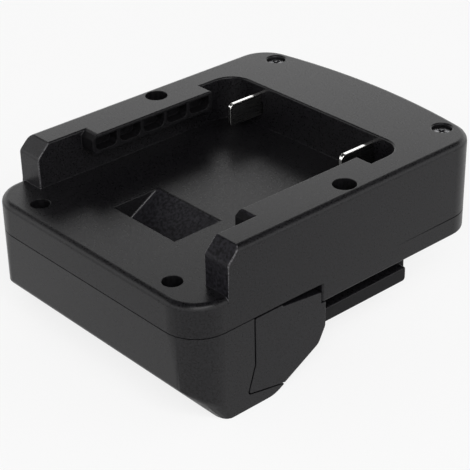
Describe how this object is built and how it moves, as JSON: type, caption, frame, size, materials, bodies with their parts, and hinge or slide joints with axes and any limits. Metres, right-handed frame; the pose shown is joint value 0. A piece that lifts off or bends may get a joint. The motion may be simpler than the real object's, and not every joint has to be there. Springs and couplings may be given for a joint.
{
  "type": "tool battery adapter",
  "caption": "Black moulded adapter: a battery slides into a railed receptacle with blade contacts on top, and a tool slides on rails below and is latched by squeeze buttons.",
  "frame": {"origin": "centre of the outline in plan, at the height of the bumper's base", "axes": "+Y from the front bumper to the far end, +Z from the tool side up to the battery side, +X to the right"},
  "size_m": [0.076, 0.095, 0.0428],
  "materials": {
    "housing": "fine grain",
    "lower": "fine grain",
    "button": "fine grain",
    "spring": "bright",
    "blade": "nickel plated",
    "insulator": "satin",
    "contact": "bright",
    "board": "solder mask",
    "package": "matte",
    "can": "satin",
    "lead_red": "satin",
    "lead_black": "satin",
    "screw": "blackened"
  },
  "bodies": {
    "housing": {"top_housing": "housing", "lower_housing": "lower", "battery_blade_positive": "blade", "battery_blade_negative": "blade", "blade_block": "insulator", "blade_block_screws": "screw", "tool_contact_positive": "contact", "tool_contact_negative": "contact", "circuit_board": "board", "cutoff_transistors": "package", "control_chip": "package", "board_capacitor": "can", "board_screws": "screw", "lead_positive": "lead_red", "lead_negative": "lead_black", "corner_screws": "screw", "rail_screws": "screw"},
    "button_left": {"release_button_left": "button", "button_spring_left": "spring"},
    "button_right": {"release_button_right": "button", "button_spring_right": "spring"}
  },
  "joints": [
    {"name": "left_button_press", "type": "slide", "parent": "housing", "child": "button_left", "axis": [1, 0, 0], "range_m": [0, 0.003], "stiffness_N_per_m": 600, "springref_m": -0.005, "deforming": ["button_spring_left"]},
    {"name": "right_button_press", "type": "slide", "parent": "housing", "child": "button_right", "axis": [-1, 0, 0], "range_m": [0, 0.003], "stiffness_N_per_m": 600, "springref_m": -0.005, "deforming": ["button_spring_right"]}
  ]
}
